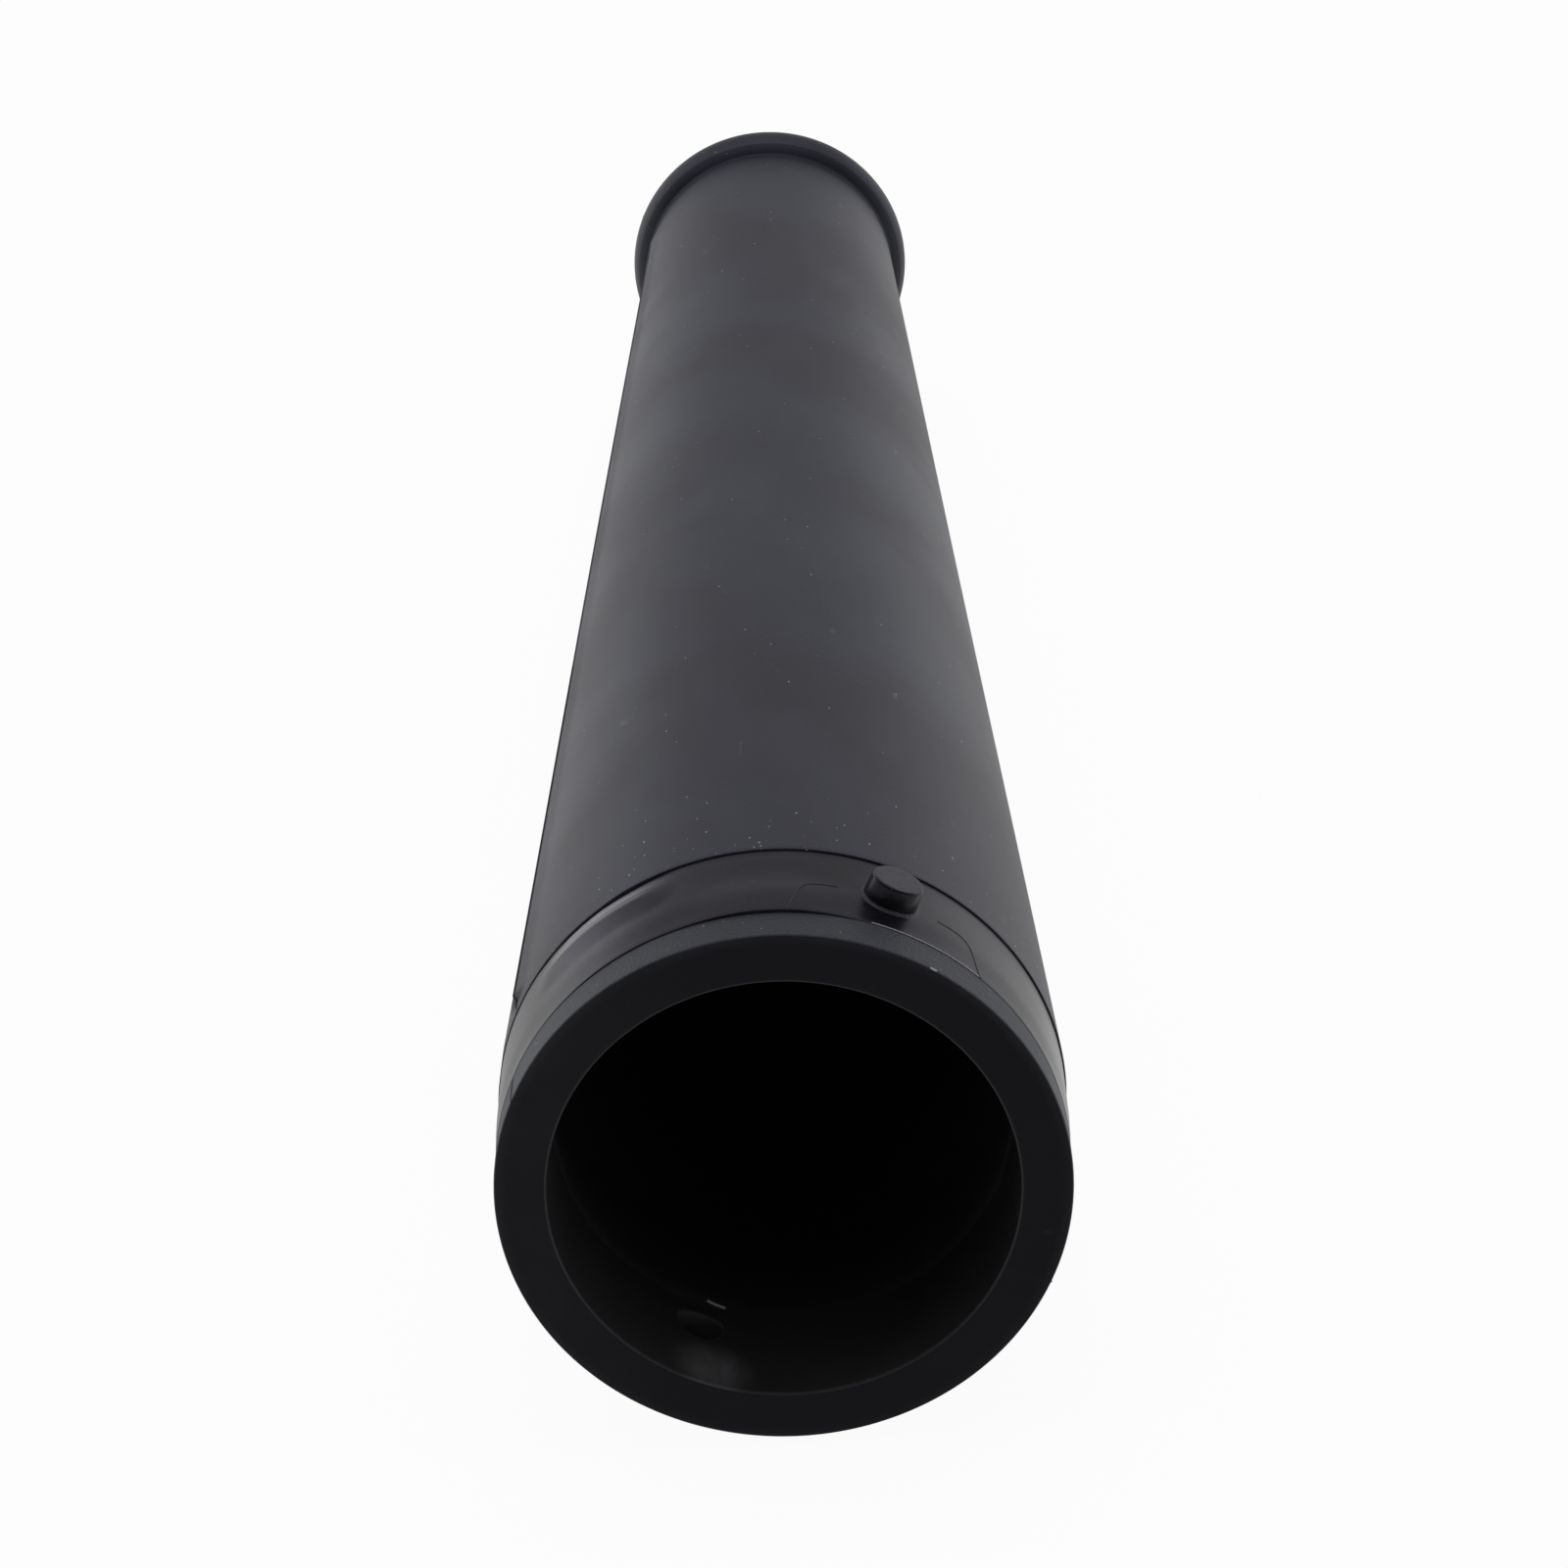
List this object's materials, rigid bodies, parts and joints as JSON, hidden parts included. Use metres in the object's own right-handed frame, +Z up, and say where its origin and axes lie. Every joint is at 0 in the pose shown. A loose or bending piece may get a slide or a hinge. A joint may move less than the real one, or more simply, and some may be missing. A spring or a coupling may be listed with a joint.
{
  "type": "leaf blower nozzle tube",
  "caption": "Tapered hollow plastic nozzle tube for a leaf blower, with a pegged bayonet collar at the wide end and a rolled bead round the outlet.",
  "frame": {"origin": "on the floor, under the middle of the lying tube's box", "axes": "+Z up; +Y along the lying tube from the bayonet end to the outlet; +X to the right seen from the bayonet end"},
  "size_m": [0.0712, 0.3566, 0.0718],
  "materials": {
    "black_plastic": "matte moulded black plastic, smoother on the bayonet band"
  },
  "bodies": {
    "root": {"nozzle_tube": "black_plastic"}
  },
  "joints": []
}
